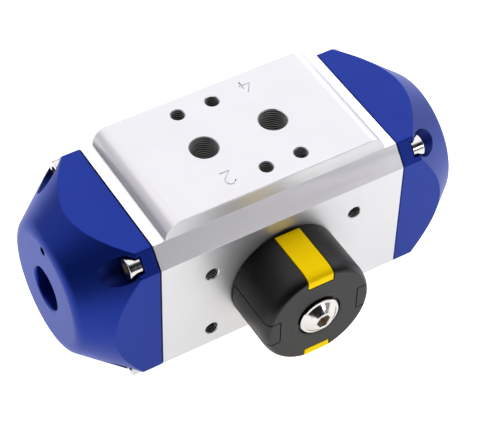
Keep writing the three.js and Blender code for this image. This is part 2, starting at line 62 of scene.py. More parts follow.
body_high = box_mm("cylinder_body")[1]
cap_low, cap_high = box_mm("end_cap_right")
knob_low, knob_high = box_mm("indicator_knob")
screw_low, screw_high = box_mm("cap_screw_right_top_front")
button_low, button_high = box_mm("indicator_screw")
marker_low, marker_high = box_mm("indicator_marker_top")
filler_low = box_mm("indicator_filler_right")[0]

BODY_HALF = body_high.x
SIDE_Y = body_high.y
PAD_TOP = body_high.z
SHOULDER_Z = cap_high.z
SECTION_Z = (cap_low.z + cap_high.z) / 2
AXIS_Z = (knob_low.z + knob_high.z) / 2
TOP_Y = 22.6                    # half width of the top face and of the pad
SIDE_HALF_Z = 21.2              # half height of the front and back faces
PAD_FLAT_HALF = 32.5            # where the pad's rounded ends begin
BORE_R = 20
CUT_X = 50                      # where tools that cut right through the housing end,
CUT_Y = 40                      # along X and along Y
MACHINED_EDGE = 0.15            # bevel on the housing's edges,
CAST_EDGE = 0.18                # on the caps' edges
MOULDED_EDGE = 0.12             # and on the indicator's edges
CLOSE = 0.05                    # how near a face's centre lies to a surface that it is part of

CAP_JOINT = cap_low.x
CAP_END = cap_high.x
CONE_SLOPE = 1.25               # fall along X for each millimetre of radius
CONE_X = 57.8                   # cone position at the middle of a side face
CONE_FACE_R = 20.5              # where the cone meets the end face, before rounding
END_EDGE_R = 5
RECESS_R = 7.2
RECESS_DEPTH = 5
PINHOLE_R = 1.4
PINHOLE_Z = AXIS_Z + 19.1
POCKET_R = 4.3
CAVITY_R = 17
CAVITY_START = 40
CAVITY_END = 54

SCREW_Y = (screw_high.y + screw_low.y) / -2
SCREW_Z = (screw_high.z + screw_low.z) / 2 - SECTION_Z
SCREW_HEAD_R = (screw_high.y - screw_low.y) / 2
SCREW_HEAD_TOP = screw_high.x
SCREW_TIP = screw_low.x
SCREW_SEAT = SCREW_HEAD_TOP - 4
SCREW_SHANK_R = 1.9
SCREW_SOCKET_R = 1.85

PORT_X = 12
PAD_SCREWS = ((-12, 16), (0, 16), (0, -16), (12, -16))
BRACKET = (12.5, 25)            # front face's screw holes, from the pinion axis along Z and X
G1_8 = (4.4, 0.907, 9.6)        # tapping radius, thread pitch and hole depth
M5_PAD = (2.1, 0.8, 8)
M5_SIDE = (2.1, 0.8, 9)
FLANGE = 18 / math.sqrt(2)      # rear face's screw holes, from the pinion axis along Z and X
SPIGOT_R = 12.5
SPIGOT_DEPTH = 2
SHAFT_LIP_R = 8.9
MOUTH = 0.3                     # chamfer at a tapped hole's mouth
NUMERAL_HEIGHT = 5.3
TWO_AT = (-12, -14.4)
FOUR_AT = (12.2, 16.5)
NUMERAL_STROKE = 0.22           # radius of the engraved groove
NUMERAL_SINK = 0.03             # how far its centre line lies below the pad's top

KNOB_R = (knob_high.x - knob_low.x) / 2
KNOB_FRONT = knob_low.y
KNOB_BACK = knob_high.y
KNOB_EDGE = (1.8, 4.3)          # the rounded edge's reach across and along the axis
INSERT_HALF = (marker_high.x - marker_low.x) / 2
INSERT_BACK = marker_high.y
INSERT_CORE_R = 16.5
INSERT_CORE_Y = KNOB_FRONT + 1.55
KNOB_PLATE = KNOB_FRONT + 2.65  # back of the knob's front plate
KNOB_WALL_R = 15
KNOB_HUB_R = 10
MARKER_SPAN = (marker_low.z - AXIS_Z, marker_high.z - AXIS_Z)
FILLER_SPAN = (filler_low.x, KNOB_R + 2)
SEAM = 0.30                     # visible gap round the inserts
SCREW_RECESS_R = 7.5
BUTTON_SEAT = KNOB_FRONT
BUTTON_TOP = button_low.y
BUTTON_FLANGE_R = button_high.x

AXIS = (AXIS_Z, 0)              # pinion axis, in the plane across Y
CENTRE = (0, SECTION_Z)         # octagon centre, in the plane across X
BORE = (0, AXIS_Z)              # piston bore, in the plane across X


def tapped_holes():
    """Every tapped hole of the housing, as (axis, centre, mouth, inward, thread)."""
    holes = [("z", (x, 0), PAD_TOP, -1, G1_8) for x in (-PORT_X, PORT_X)]
    holes += [("z", place, PAD_TOP, -1, M5_PAD) for place in PAD_SCREWS]
    for sx in (-1, 1):
        for sz in (-1, 1):
            holes.append(("y", (AXIS_Z + sz * BRACKET[0], sx * BRACKET[1]), -SIDE_Y, 1, M5_SIDE))
            holes.append(("y", (AXIS_Z + sz * FLANGE, sx * FLANGE), SIDE_Y, -1, M5_SIDE))
    return holes


# ---- Mesh building --------------------------------------------------------------------
# A point across an axis is given as (a, b, c): a and b in the plane, c along the axis.
ACROSS = {
    "x": lambda a, b, c: (c, a, b),
    "y": lambda a, b, c: (b, c, a),
    "z": lambda a, b, c: (a, b, c),
}


def new_object(name, points, faces):
    mesh = bpy.data.meshes.new(name)
    mesh.from_pydata([tuple(v * MM for v in p) for p in points], [], faces)
    obj = bpy.data.objects.new(name, mesh)
    bpy.context.scene.collection.objects.link(obj)
    tidy_mesh(mesh)
    return obj


def tidy_mesh(mesh):
    bm = bmesh.new()
    bm.from_mesh(mesh)
    bmesh.ops.remove_doubles(bm, verts=bm.verts, dist=1e-7)
    bmesh.ops.dissolve_degenerate(bm, edges=bm.edges, dist=1e-7)
    bmesh.ops.recalc_face_normals(bm, faces=bm.faces)
    bm.to_mesh(mesh)
    bm.free()


def loft(name, axis, rings, closed=False):
    """Skins rings of (a, b, c) points. Ends are capped unless the rings close on themselves."""
    count = len(rings[0])
    points = [ACROSS[axis](*p) for ring in rings for p in ring]
    faces = []
    last = len(rings) if closed else len(rings) - 1
    for k in range(last):
        here, there = k * count, (k + 1) % len(rings) * count
        for i in range(count):
            j = (i + 1) % count
            faces.append((here + i, here + j, there + j, there + i))
    if not closed:
        faces.append(tuple(range(count)))
        faces.append(tuple((len(rings) - 1) * count + i for i in range(count)))
    return new_object(name, points, faces)


def circle(centre, radius, position, count):
    step = 2 * math.pi / count
    return [
        (centre[0] + radius * math.cos(i * step), centre[1] + radius * math.sin(i * step), position)
        for i in range(count)]


def turned(name, axis, centre, profile, count=96, closed=False):
    """A profile of (radius, position) points turned about an axis."""
    rings = [circle(centre, max(radius, 1e-4), position, count) for radius, position in profile]
    return loft(name, axis, rings, closed)


def arc(a, b, radius, start, end, steps):
    angles = [start + (end - start) * i / steps for i in range(steps + 1)]
    return [(a + radius * math.cos(t), b + radius * math.sin(t)) for t in angles]


def rounded_outline(corners, radius, steps, spacing):
    """A closed outline with rounded corners, its straight runs split about every spacing."""
    outline = []
    count = len(corners)
    pieces = []
    for i, corner in enumerate(corners):
        here = Vector(corner)
        before = (Vector(corners[i - 1]) - here).normalized()
        after = (Vector(corners[(i + 1) % count]) - here).normalized()
        half = before.angle(after) / 2
        middle_way = (before + after).normalized()
        centre = here + middle_way * (radius / math.sin(half))
        reach = radius / math.tan(half)
        first, final = here + before * reach - centre, here + after * reach - centre
        turn = first.angle_signed(final)
        start = math.atan2(first.y, first.x)
        angles = [start - turn * k / steps for k in range(steps + 1)]
        pieces.append([centre + radius * Vector((math.cos(t), math.sin(t))) for t in angles])
    for i, piece in enumerate(pieces):
        outline.extend(tuple(p) for p in piece)
        end, begin = piece[-1], pieces[(i + 1) % count][0]
        splits = max(1, round((begin - end).length / spacing))
        outline.extend(tuple(end.lerp(begin, k / splits)) for k in range(1, splits))
    return outline


def prism(name, axis, outline, start, end):
    return loft(name, axis, [[(a, b, start) for a, b in outline], [(a, b, end) for a, b in outline]])


def bar(name, low, high):
    corners = [(low[0], low[1]), (high[0], low[1]), (high[0], high[1]), (low[0], high[1])]
    return prism(name, "z", corners, low[2], high[2])


def boolean(target, others, operation="DIFFERENCE"):
    """Joins or cuts with closed meshes, and removes them."""
    for other in others:
        modifier = target.modifiers.new("boolean", "BOOLEAN")
        modifier.operation = operation
        modifier.solver = "MANIFOLD"
        modifier.object = other
    apply_modifiers(target)
    for other in others:
        mesh = other.data
        bpy.data.objects.remove(other)
        bpy.data.meshes.remove(mesh)
    return target


def apply_modifiers(obj):
    graph = bpy.context.evaluated_depsgraph_get()
    graph.update()
    mesh = bpy.data.meshes.new_from_object(obj.evaluated_get(graph))
    mesh.name = obj.name
    obj.modifiers.clear()
    obj.data = mesh


def soften(obj, width, angle=30):
    """Rounds every edge sharper than angle, and keeps flat faces looking flat."""
    if width:
        bevel = obj.modifiers.new("edges", "BEVEL")
        bevel.width = width * MM
        bevel.segments = 2
        bevel.limit_method = "ANGLE"
        bevel.angle_limit = math.radians(angle)
        bevel.use_clamp_overlap = True
        apply_modifiers(obj)
    obj.data.shade_smooth()
    obj.data.set_sharp_from_angle(angle=math.radians(angle))
    weighted = obj.modifiers.new("normals", "WEIGHTED_NORMAL")
    weighted.keep_sharp = True
    weighted.weight = 100
    apply_modifiers(obj)
    return obj


def mirrored(obj):
    """A copy on the other side of the plane x = 0, made before the edges are softened."""
    mesh = obj.data.copy()
    copy = bpy.data.objects.new(obj.name, mesh)
    bpy.context.scene.collection.objects.link(copy)
    mesh.transform(Matrix.Scale(-1, 4, Vector((1, 0, 0))))
    mesh.flip_normals()
    return copy


def threaded_cutter(axis, centre, mouth, inward, thread):
    """The hollow of a tapped hole: a chamfered mouth, then thread ridges down to a drilled point."""
    radius, pitch, depth = thread
    count = 40 if radius < 3 else 72
    groove = pitch * 0.5
    profile = [(radius + 2 * MOUTH, -MOUTH), (radius + MOUTH, 0), (radius, MOUTH)]
    along = MOUTH + pitch * 0.2
    while along + pitch < depth:
        profile += [(radius, along), (radius + groove, along + pitch * 0.2),
                    (radius + groove, along + pitch * 0.4), (radius, along + pitch * 0.6)]
        along += pitch
    profile += [(radius, along), (radius, depth), (0.01, depth + radius * 0.55)]
    return turned("cutter", axis, centre, [(r, mouth + inward * y) for r, y in profile], count)


def engraved(path, centre):
    """The groove of a round-nosed engraver along a path on the pad, ready to be cut away."""
    curve = bpy.data.curves.new("groove", "CURVE")
    curve.dimensions = "3D"
    curve.bevel_depth = NUMERAL_STROKE * MM
    curve.bevel_resolution = 2
    curve.use_fill_caps = True
    line = curve.splines.new("POLY")
    line.points.add(len(path) - 1)
    for point, (u, v) in zip(line.points, path):
        x, y, z = centre[0] - u, centre[1] - v, PAD_TOP - NUMERAL_SINK
        point.co = (x * MM, y * MM, z * MM, 1)
    source = bpy.data.objects.new("groove", curve)
    bpy.context.scene.collection.objects.link(source)
    graph = bpy.context.evaluated_depsgraph_get()
    graph.update()
    mesh = bpy.data.meshes.new_from_object(source.evaluated_get(graph))
    bpy.data.objects.remove(source)
    cutter = bpy.data.objects.new("groove", mesh)
    bpy.context.scene.collection.objects.link(cutter)
    tidy_mesh(mesh)
    return cutter


def port_numerals():
    """The ports' numbers, 2 and 4, read from the back."""
    half = NUMERAL_HEIGHT / 2
    bowl = half * 0.6
    two = arc(0, half - bowl, bowl, math.radians(165), math.radians(-35), 10)
    two += [(-bowl, -half), (bowl, -half)]
    arms = [(half * 0.2, half), (-half * 0.7, -half * 0.35), (half * 0.7, -half * 0.35)]
    stem = [(half * 0.35, half * 0.2), (half * 0.35, -half)]
    return [engraved(two, TWO_AT), engraved(arms, FOUR_AT), engraved(stem, FOUR_AT)]


def hexagon_point(angle, across_flats):
    inside = (angle + math.pi / 6) % (math.pi / 3) - math.pi / 6
    radius = across_flats / 2 / math.cos(inside)
    return radius * math.cos(angle), radius * math.sin(angle)


def hexagon_ring(centre, across_flats, position, count):
    ring = []
    for i in range(count):
        a, b = hexagon_point(2 * math.pi * i / count, across_flats)
        ring.append((centre[0] + a, centre[1] + b, position))
    return ring


# ---- Materials ------------------------------------------------------------------------
def principled(name, color, roughness, metallic, **settings):
    material = bpy.data.materials.new(name)
    material.use_nodes = True
    shader = material.node_tree.nodes["Principled BSDF"]
    shader.inputs["Base Color"].default_value = (*color, 1)
    shader.inputs["Roughness"].default_value = roughness
    shader.inputs["Metallic"].default_value = metallic
    for socket, value in settings.items():
        shader.inputs[socket.replace("_", " ")].default_value = value
    return material, material.node_tree, shader


def coordinates(tree, stretch=(1, 1, 1)):
    """Object coordinates, with each axis scaled: a small factor draws the pattern out along it."""
    source = tree.nodes.new("ShaderNodeTexCoord")
    mapping = tree.nodes.new("ShaderNodeMapping")
    mapping.inputs["Scale"].default_value = stretch
    tree.links.new(source.outputs["Object"], mapping.inputs["Vector"])
    return mapping.outputs["Vector"]


def noise(tree, vector, scale, detail=4, roughness=0.5):
    node = tree.nodes.new("ShaderNodeTexNoise")
    node.inputs["Scale"].default_value = scale
    node.inputs["Detail"].default_value = detail
    node.inputs["Roughness"].default_value = roughness
    tree.links.new(vector, node.inputs["Vector"])
    return node.outputs["Fac"]


def spread(tree, value, low, high, start=0.3, end=0.7):
    """Maps a noise value from start..end to low..high."""
    node = tree.nodes.new("ShaderNodeMapRange")
    for socket, number in zip(("From Min", "From Max", "To Min", "To Max"), (start, end, low, high)):
        node.inputs[socket].default_value = number
    tree.links.new(value, node.inputs["Value"])
    return node.outputs["Result"]


def tint(tree, value, first, second):
    node = tree.nodes.new("ShaderNodeMix")
    node.data_type = "RGBA"
    node.inputs["A"].default_value = (*first, 1)
    node.inputs["B"].default_value = (*second, 1)
    tree.links.new(value, node.inputs["Factor"])
    return node.outputs["Result"]


def bump(tree, shader, height, strength, distance, below=None):
    node = tree.nodes.new("ShaderNodeBump")
    node.inputs["Strength"].default_value = strength
    node.inputs["Distance"].default_value = distance
    tree.links.new(height, node.inputs["Height"])
    if below is not None:
        tree.links.new(below, node.inputs["Normal"])
    tree.links.new(node.outputs["Normal"], shader.inputs["Normal"])
    return node.outputs["Normal"]


def anodised_aluminium():
    """Satin anodising over an extrusion: fine die lines along X, and faint cloudiness."""
    material, tree, shader = principled("anodised_aluminium", (0.69, 0.685, 0.695), 0.42, 0.7)
    lines = noise(tree, coordinates(tree, (0.012, 1, 1)), 2600, 3, 0.6)
    cloud = noise(tree, coordinates(tree), 60, 3)
    grain = noise(tree, coordinates(tree), 5200, 2)
    color = tint(tree, spread(tree, cloud, 0, 1), (0.68, 0.675, 0.685), (0.70, 0.695, 0.705))
    tree.links.new(color, shader.inputs["Base Color"])
    tree.links.new(spread(tree, lines, 0.36, 0.48), shader.inputs["Roughness"])
    first = bump(tree, shader, lines, 0.25, 0.00002)
    bump(tree, shader, grain, 0.15, 0.00001, first)
    return material


def pad_round_painted_shade():
    """The anodising on the pad's rounded ends, with painted shade that darkens it towards the corner at
    their foot.
    """
    material, tree, shader = principled("pad_round_painted_shade", (0.60, 0.595, 0.61), 0.42, 0.7)
    split = tree.nodes.new("ShaderNodeSeparateXYZ")
    tree.links.new(coordinates(tree), split.inputs["Vector"])
    foot, clear = SHOULDER_Z * MM, (SHOULDER_Z + 2.8) * MM
    height = spread(tree, split.outputs["Z"], 0, 1, foot, clear)
    # Painted shade: the base colour falls from the anodising's grey to dark grey over the lowest 2.8 mm of
    # the rounded ends.
    color = tint(tree, height, (0.20, 0.197, 0.21), (0.69, 0.685, 0.695))
    tree.links.new(color, shader.inputs["Base Color"])
    lines = noise(tree, coordinates(tree, (1, 0.012, 1)), 2600, 3, 0.6)
    tree.links.new(spread(tree, lines, 0.36, 0.48), shader.inputs["Roughness"])
    return material


def milled_aluminium():
    """Freshly milled metal beside the pad."""
    material, tree, shader = principled("milled_aluminium", (0.95, 0.95, 0.96), 0.28, 0.9)
    marks = noise(tree, coordinates(tree, (1, 0.03, 1)), 2200, 3)
    tree.links.new(spread(tree, marks, 0.24, 0.34), shader.inputs["Roughness"])
    bump(tree, shader, marks, 0.1, 0.00001)
    return material


def blue_coating():
    """Satin blue lacquer, coloured through to the metal below, with a faint orange peel."""
    material, tree, shader = principled(
        "blue_coating", (0.001, 0.028, 0.27), 0.42, 0.75, Specular_Tint=(0.78, 0.82, 1, 1),
        Coat_Weight=0.3, Coat_Roughness=0.4)
    peel = noise(tree, coordinates(tree), 1500, 3)
    fine = noise(tree, coordinates(tree), 6000, 2)
    cloud = noise(tree, coordinates(tree), 80, 3)
    color = tint(tree, spread(tree, cloud, 0, 1), (0.001, 0.026, 0.26), (0.002, 0.030, 0.28))
    tree.links.new(color, shader.inputs["Base Color"])
    tree.links.new(spread(tree, fine, 0.38, 0.5), shader.inputs["Roughness"])
    first = bump(tree, shader, peel, 0.25, 0.00008)
    bump(tree, shader, fine, 0.2, 0.00002, first)
    return material


def polished_steel():
    material, tree, shader = principled("polished_steel", (0.60, 0.587, 0.566), 0.16, 1.0)
    smear = noise(tree, coordinates(tree), 900, 4)
    tree.links.new(spread(tree, smear, 0.1, 0.24), shader.inputs["Roughness"])
    bump(tree, shader, smear, 0.1, 0.00001)
    return material


def machined_steel():
    material, tree, shader = principled("shaft_steel", (0.42, 0.42, 0.43), 0.35, 1.0)
    marks = noise(tree, coordinates(tree, (1, 0.05, 1)), 2500, 3)
    tree.links.new(spread(tree, marks, 0.28, 0.45), shader.inputs["Roughness"])
    bump(tree, shader, marks, 0.2, 0.00002)
    return material


def moulded_plastic(name, color, lighter, roughness, grain_strength, gloss=0.5, lustre=0):
    """Moulded plastic with a fine spark-eroded grain; lustre colours its reflections."""
    material, tree, shader = principled(name, color, roughness, lustre, Specular_IOR_Level=gloss)
    grain = noise(tree, coordinates(tree), 4200, 3, 0.6)
    cloud = noise(tree, coordinates(tree), 150, 3)
    tree.links.new(tint(tree, spread(tree, cloud, 0, 1), color, lighter), shader.inputs["Base Color"])
    tree.links.new(spread(tree, grain, roughness - 0.06, roughness + 0.08), shader.inputs["Roughness"])
    bump(tree, shader, grain, grain_strength, 0.00003)
    return material


def cast_aluminium():
    material, tree, shader = principled("cast_aluminium", (0.5, 0.5, 0.52), 0.5, 0.9)
    skin = noise(tree, coordinates(tree), 1800, 4)
    tree.links.new(spread(tree, skin, 0.4, 0.62), shader.inputs["Roughness"])
    bump(tree, shader, skin, 0.3, 0.00004)
    return material


MATERIALS = {
    "anodised_aluminium": anodised_aluminium(),
    "pad_round_painted_shade": pad_round_painted_shade(),
    "milled_aluminium": milled_aluminium(),
    # Painted light and shade in the tapped holes: pale faces inside the holes and dark thread roots stand
    # in for the lit and shaded bands of the thread.
    "thread": principled("thread", (0.95, 0.95, 0.93), 0.4, 0)[0],
    "thread_root_painted_shade": principled("thread_root_painted_shade", (0.12, 0.12, 0.115), 0.5, 0)[0],
    "socket_shade": principled("socket_shade", (0.55, 0.48, 0.38), 0.35, 0.6)[0],
    "blue_coating": blue_coating(),
    # Painted shade: a darker blue for the faces inside the caps' screw pockets, which are also rougher.
    "pocket_blue_painted_shade": principled("pocket_blue_painted_shade", (0.0005, 0.016, 0.18), 0.55, 0.5)[0],
    "polished_steel": polished_steel(),
    "shaft_steel": machined_steel(),
    "black_plastic": moulded_plastic(
        "black_plastic", (0.0015, 0.0015, 0.001), (0.003, 0.003, 0.0025),
        roughness=0.42, grain_strength=0.3, gloss=0.55),
    "yellow_plastic": moulded_plastic(
        "yellow_plastic", (0.98, 0.70, 0.0), (1.0, 0.72, 0.0),
        roughness=0.42, grain_strength=0.1, gloss=0.05, lustre=0.2),
    "seal_rubber": moulded_plastic(
        "seal_rubber", (0.012, 0.012, 0.012), (0.018, 0.018, 0.018),
        roughness=0.6, grain_strength=0.2),
    "bearing_plastic": moulded_plastic(
        "bearing_plastic", (0.62, 0.58, 0.48), (0.68, 0.64, 0.54),
        roughness=0.5, grain_strength=0.2),
    "cast_aluminium": cast_aluminium(),
}


def finish_piece(obj, body, slot, *replaced):
    """Gives a piece its material and slot, and puts it on its body in place of CAD nodes."""
    obj.data.materials.clear()
    obj.data.materials.append(MATERIALS[slot])
    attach(obj, body)
    if replaced:
        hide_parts(*replaced)
    return obj


# ---- Housing --------------------------------------------------------------------------
def octagon_corners():
    """The corners of the octagonal section, as (y, z)."""
    corners = [(SIDE_Y, SIDE_HALF_Z), (TOP_Y, SECTION_Z), (-TOP_Y, SECTION_Z), (-SIDE_Y, SIDE_HALF_Z)]
    corners += [(-y, -z) for y, z in corners]
    return [(y, SECTION_Z + z) for y, z in corners]


def housing_section():
    """The octagon with the pad on top of it, as (y, z)."""
    corners = octagon_corners()
    pad = [(TOP_Y, PAD_TOP), (-TOP_Y, PAD_TOP)]
    return corners[:1] + [(TOP_Y, SHOULDER_Z)] + pad + [(-TOP_Y, SHOULDER_Z)] + corners[3:]


def housing_side_view():
    """The housing's outline across Y, as (z, x): a block with the pad's rounded ends on top."""
    rise = PAD_TOP - SHOULDER_Z
    right = arc(SHOULDER_Z, PAD_FLAT_HALF, rise, math.pi / 2, 0, 24)
    left = [(z, -x) for z, x in reversed(right)]
    outer = BODY_HALF + 5
    below = -5
    return [(below, outer), (SHOULDER_Z, outer), *right, *left, (SHOULDER_Z, -outer), (below, -outer)]


def housing():
    section = rounded_outline(housing_section(), 0.35, steps=3, spacing=60)
    shell = prism("housing", "x", section, -BODY_HALF, BODY_HALF)
    boolean(shell, [prism("side", "y", housing_side_view(), -CUT_Y, CUT_Y)], "INTERSECT")
    boolean(shell, [
        turned("bore", "x", BORE, [(BORE_R, -CUT_X), (BORE_R, CUT_X)], 128),
        turned("lip", "y", AXIS, [(SHAFT_LIP_R, -CUT_Y), (SHAFT_LIP_R, CUT_Y)], 96),
        turned("spigot", "y", AXIS, [(SPIGOT_R, SIDE_Y - SPIGOT_DEPTH), (SPIGOT_R, CUT_Y)], 128),
    ])
    soften(shell, MACHINED_EDGE)
    boolean(shell, [threaded_cutter(*hole) for hole in tapped_holes()])
    boolean(shell, port_numerals())
    soften(shell, 0)
    finish_piece(shell, "cylinder", "anodised_aluminium", "cylinder_body")
    # Painted light inside the tapped holes and painted shade in their thread roots.
    shade_faces(shell, "thread", in_a_hole)
    shade_faces(shell, "thread_root_painted_shade", in_a_thread_root)
    shade_faces(shell, "milled_aluminium", on_shoulder)
    # Painted shade at the foot of the pad's rounded ends.
    shade_faces(shell, "pad_round_painted_shade", on_pad_round)


def shade_faces(obj, material, chosen):
    """Gives the faces picked out by chosen(centre in mm, normal) another material."""
    obj.data.materials.append(MATERIALS[material])
    index = len(obj.data.materials) - 1
    for polygon in obj.data.polygons:
        if chosen(polygon.center / MM, polygon.normal):
            polygon.material_index = index


def near_holes(point):
    """For each tapped hole: how deep the point lies, its distance off the axis, and the thread."""
    across = {"z": (point.x, point.y, point.z), "y": (point.z, point.x, point.y)}
    for axis, centre, mouth, inward, thread in HOLES:
        a, b, along = across[axis]
        yield (along - mouth) * inward, math.hypot(a - centre[0], b - centre[1]), thread


def in_a_hole(point, _normal):
    return any(
        MOUTH < deep < depth + radius and off_axis < radius + pitch
        for deep, off_axis, (radius, pitch, depth) in near_holes(point))


# Faces in the thread roots, which get the painted shade.
def in_a_thread_root(point, _normal):
    return any(
        MOUTH < deep < depth and radius + CLOSE < off_axis < radius + pitch
        for deep, off_axis, (radius, pitch, depth) in near_holes(point))


# Faces of the pad's rounded ends, which get the painted shade at their foot.
def on_pad_round(point, normal):
    return abs(point.x) > PAD_FLAT_HALF and point.z > SHOULDER_Z + CLOSE and abs(normal.x) > 0.02


def on_shoulder(point, normal):
    return normal.z > 0.99 and abs(point.z - SHOULDER_Z) < CLOSE


# ---- End caps -------------------------------------------------------------------------
def cap_rings():
    """Rings of the right-hand cap from its joint face out to the floor of the end recess."""
    outline = rounded_outline(octagon_corners(), 0.6, steps=4, spacing=1.6)
    slope = math.atan(1 / CONE_SLOPE)
    joint_chamfer = 0.25
    blend_r = 0.7
    reach = blend_r * math.tan(slope / 2)
    tangent = END_EDGE_R * math.tan((math.pi / 2 - slope) / 2)
    flat_r = CONE_FACE_R - tangent
    end_edge = arc(flat_r, CAP_END - END_EDGE_R, END_EDGE_R, slope, math.pi / 2, 12)
    columns = []
    ways = []
    for y, z in outline:
        way = Vector((y, z)) - Vector(CENTRE)
        rim = way.length
        way.normalize()
        ways.append(way)
        cone_x = CONE_X - CONE_SLOPE * (rim - SIDE_Y)
        profile = [(rim - joint_chamfer, CAP_JOINT), (rim, CAP_JOINT + joint_chamfer)]
        profile.append((rim, cone_x - reach))
        for k in range(1, 5):
            t = slope * k / 4
            profile.append((rim - blend_r * (1 - math.cos(t)), cone_x - reach + blend_r * math.sin(t)))
        first_r, first_x = profile[-1]
        last_r, last_x = end_edge[0]
        for k in range(1, 8):
            profile.append((first_r + (last_r - first_r) * k / 8, first_x + (last_x - first_x) * k / 8))
        profile += end_edge
        columns.append([(CENTRE[0] + way.x * r, CENTRE[1] + way.y * r, x) for r, x in profile])
    rings = [list(ring) for ring in zip(*columns)]
    for r, x in end_profile(flat_r):
        rings.append([(CENTRE[0] + way.x * r, CENTRE[1] + way.y * r, x) for way in ways])
    return rings


def end_profile(flat_r):
    """The cap's flat end, the rounded rim of its recess, and the recess with a drilled floor."""
    fillet = 0.8
    brim = RECESS_R + fillet
    profile = [(brim + (flat_r - brim) / 2, CAP_END), (brim, CAP_END)]
    for k in range(1, 5):
        t = math.pi / 2 * k / 4
        profile.append((brim - fillet * math.sin(t), CAP_END - fillet + fillet * math.cos(t)))
    floor = CAP_END - RECESS_DEPTH
    corner = 0.4
    drill_r = 3.2
    profile += [(RECESS_R, floor + corner), (RECESS_R - corner, floor), (drill_r + 0.2, floor)]
    profile += [(drill_r, floor - 0.2), (drill_r, floor - 1.6), (TINY_R, floor - 2.6)]
    return profile


def end_caps():
    cap = loft("end_cap", "x", cap_rings())
    pockets = []
    for y, z in screw_places():
        pocket = [(POCKET_R, SCREW_SEAT - 0.3), (POCKET_R, CAP_END + 5)]
        pockets.append(turned("pocket", "x", (y, z), pocket, 64))
    boolean(cap, pockets)
    tools = [
        turned("cavity", "x", BORE, [(CAVITY_R, CAVITY_START), (CAVITY_R, CAVITY_END)], 96),
        turned("pinhole", "x", (0, PINHOLE_Z), [(PINHOLE_R, CAP_END - 4), (PINHOLE_R, CAP_END + 2)], 24),
    ]
    shank = SCREW_SHANK_R + 0.3
    for place in screw_places():
        clearance = [(shank, CAVITY_START), (shank, SCREW_SEAT + 1)]
        tools.append(turned("clearance", "x", place, clearance, 32))
    boolean(cap, tools)
    other = mirrored(cap)
    for piece, side in ((cap, "right"), (other, "left")):
        soften(piece, CAST_EDGE, angle=28)
        piece.name = f"cap_shell_{side}"
        finish_piece(piece, "cylinder", "blue_coating", f"end_cap_{side}")
        shade_faces(piece, "pocket_blue_painted_shade", in_a_pocket)


def screw_places():
    return [(sy * SCREW_Y, SECTION_Z + sz * SCREW_Z) for sy in (1, -1) for sz in (1, -1)]


def off_cap_screw(point):
    """Distance from a point to the nearest cap screw's axis."""
    return min(math.hypot(point.y - y, point.z - z) for y, z in screw_places())


# Faces inside the caps' screw pockets, which get the painted shade.
def in_a_pocket(point, _normal):
    return off_cap_screw(point) < POCKET_R + 0.01 and abs(point.x) > SCREW_SEAT - 0.5


def cap_screws():
    for y, z in screw_places():
        corner = f"{'top' if z > SECTION_Z else 'bottom'}_{'front' if y < 0 else 'back'}"
        screw = socket_screw((y, z))
        other = mirrored(screw)
        for piece, side in ((screw, "right"), (other, "left")):
            soften(piece, 0)
            piece.name = f"screw_{side}_{corner}"
            finish_piece(piece, "cylinder", "polished_steel", f"cap_screw_{side}_{corner}")
            shade_faces(piece, "socket_shade", in_cap_screw_socket)


def in_cap_screw_socket(point, _normal):
    return off_cap_screw(point) < SCREW_SOCKET_R and SCREW_SEAT < abs(point.x) < SCREW_HEAD_TOP - 0.35


def socket_screw(centre, count=72):
    """An M4 socket-head screw with its head towards +X."""
    top = SCREW_HEAD_TOP
    edge = 0.35
    tip_chamfer = 0.4
    outside = [(TINY_R, SCREW_TIP), (SCREW_SHANK_R - tip_chamfer, SCREW_TIP)]
    outside += [(SCREW_SHANK_R, SCREW_TIP + tip_chamfer), (SCREW_SHANK_R, SCREW_SEAT)]
    outside += [(SCREW_HEAD_R - 0.1, SCREW_SEAT), (SCREW_HEAD_R, SCREW_SEAT + 0.1)]
    outside += arc(SCREW_HEAD_R - edge, top - edge, edge, 0, math.pi / 2, 4)
    outside.append((2.35, top))
    rings = [circle(centre, r, x, count) for r, x in outside]
    for across_flats, below in ((3.5, 0.02), (3.05, 0.3), (3.0, 2.0)):
        rings.append(hexagon_ring(centre, across_flats, top - below, count))
    rings.append(circle(centre, TINY_R, top - 2.6, count))
    return loft("cap_screw", "x", rings)


# ---- Position indicator ---------------------------------------------------------------
def knob_edge(outer):
    """The knob's rounded edge, from its front face out to the outer radius, as (radius, y)."""
    across, along = KNOB_EDGE
    quarter = arc(0, 0, 1, -math.pi / 2, 0, 14)
    return [(outer + across * (a - 1), KNOB_FRONT + along * (b + 1)) for a, b in quarter]


def knob_envelope(name, back):
    profile = [(TINY_R, KNOB_FRONT), (9, KNOB_FRONT), *knob_edge(KNOB_R), (KNOB_R, back), (TINY_R, back)]
    return turned(name, "y", AXIS, profile, 160)


def edge_bar(quarter, span, half, back):
    """A bar across the knob's edge: 0 is up, 1 left, 2 down and 3 right."""
    ahead = KNOB_FRONT - 2
    piece = bar("bar", (-half, ahead, span[0]), (half, back, span[1]))
    turn = Matrix.Rotation(-math.pi / 2 * quarter, 4, "Y")
    piece.data.transform(Matrix.Translation((0, 0, AXIS_Z * MM)) @ turn)
    return piece


def insert(name, quarter, span, slot, node):
    piece = edge_bar(quarter, span, INSERT_HALF, INSERT_BACK)
    if span == MARKER_SPAN:
        boolean(piece, [marker_side_view(quarter)], "INTERSECT")
    else:
        boolean(piece, [knob_envelope("envelope", INSERT_BACK + 1)], "INTERSECT")
    core = turned("core", "y", AXIS, [(INSERT_CORE_R, INSERT_CORE_Y), (INSERT_CORE_R, 0)], 160)
    boolean(piece, [core])
    soften(piece, MOULDED_EDGE, angle=35)
    piece.name = name
    finish_piece(piece, "pinion", slot, node)


